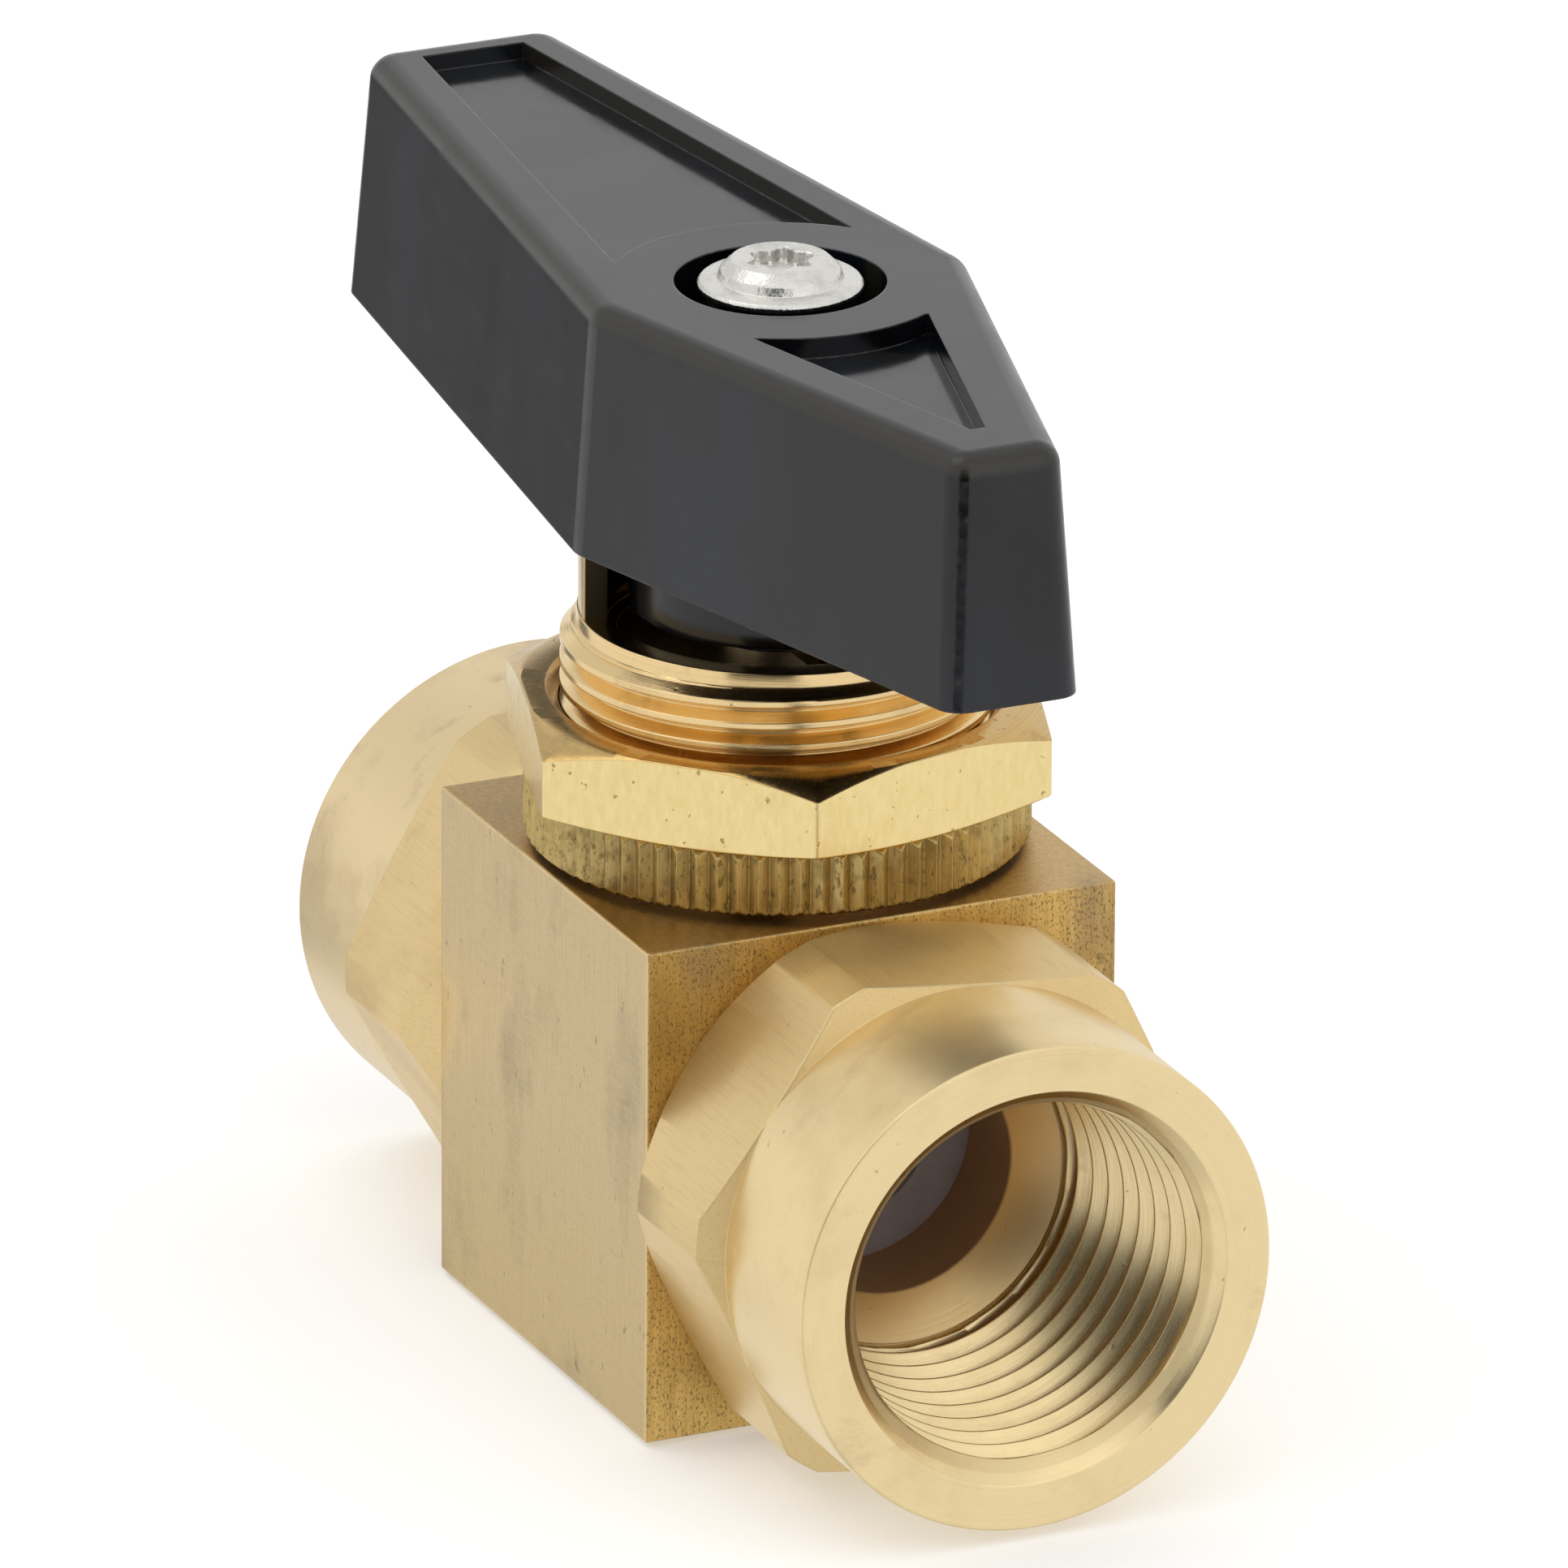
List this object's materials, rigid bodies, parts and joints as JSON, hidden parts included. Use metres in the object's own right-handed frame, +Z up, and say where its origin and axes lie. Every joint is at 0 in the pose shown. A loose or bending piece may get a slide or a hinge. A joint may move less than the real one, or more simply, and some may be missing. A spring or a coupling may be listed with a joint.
{
  "type": "three way valve",
  "caption": "Compact brass three way ball valve: square block, hexagon end connectors with female pipe threads, threaded panel-mount neck with ring and nut, and a black lever handle.",
  "frame": {"origin": "mouth of the bottom port, at the centre of the block's underside", "axes": "+Z up the stem to the handle, +Y along the port axis to the rear connector, where the handle's long arm points at rest"},
  "size_m": [0.025, 0.0628, 0.0495],
  "materials": {
    "brass_block": "sawn and milled brass bar, brushed, lightly tarnished",
    "brass_connector": "turned and milled brass, satin",
    "brass_nut": "bright turned brass, a few scratches",
    "brass_knurl": "knurled brass, darkened in the teeth",
    "handle_nylon": "moulded black nylon, semi-gloss",
    "screw_steel": "satin zinc-plated steel",
    "stem_steel": "turned stainless steel",
    "spring_steel": "rolled spring steel",
    "plated_ball": "polished plated ball",
    "seat_plastic": "machined PTFE",
    "seal_rubber": "moulded rubber, matt"
  },
  "bodies": {
    "valve_body": {"body": "brass_block", "end_connector_front": "brass_connector", "end_connector_rear": "brass_connector", "connector_o_ring_front": "seal_rubber", "connector_o_ring_rear": "seal_rubber", "ball_seat_front": "seat_plastic", "ball_seat_rear": "seat_plastic", "stem_thrust_washer": "seat_plastic", "stem_o_ring": "seal_rubber", "packing_ring_lower": "seat_plastic", "packing_ring_upper": "seat_plastic", "packing_follower": "brass_connector", "disc_spring_lower": "spring_steel", "disc_spring_upper": "spring_steel", "gland_nut": "brass_connector"},
    "ball": {"ball": "plated_ball"},
    "handle": {"handle": "handle_nylon", "handle_screw": "screw_steel", "stem": "stem_steel"},
    "panel_ring": {"knurled_panel_ring": "brass_knurl"},
    "panel_nut": {"panel_hex_nut": "brass_nut"}
  },
  "joints": [
    {"name": "handle_turn", "type": "hinge", "parent": "valve_body", "child": "handle", "pos_m": [0, 0, 0.035], "axis": [0, 0, 1], "range_deg": [-180, 0]},
    {"name": "ball_turn", "type": "hinge", "parent": "valve_body", "child": "ball", "pos_m": [0, 0, 0.01136], "axis": [0, 0, 1], "range_deg": [-180, 0]},
    {"name": "panel_ring_spin", "type": "hinge", "parent": "valve_body", "child": "panel_ring", "pos_m": [0, 0, 0.0244], "axis": [0, 0, 1], "continuous": true},
    {"name": "panel_nut_spin", "type": "hinge", "parent": "valve_body", "child": "panel_nut", "pos_m": [0, 0, 0.0278], "axis": [0, 0, 1], "continuous": true}
  ],
  "couplings": [
    {"joint": "ball_turn", "follows": "handle_turn", "ratio": 1}
  ]
}
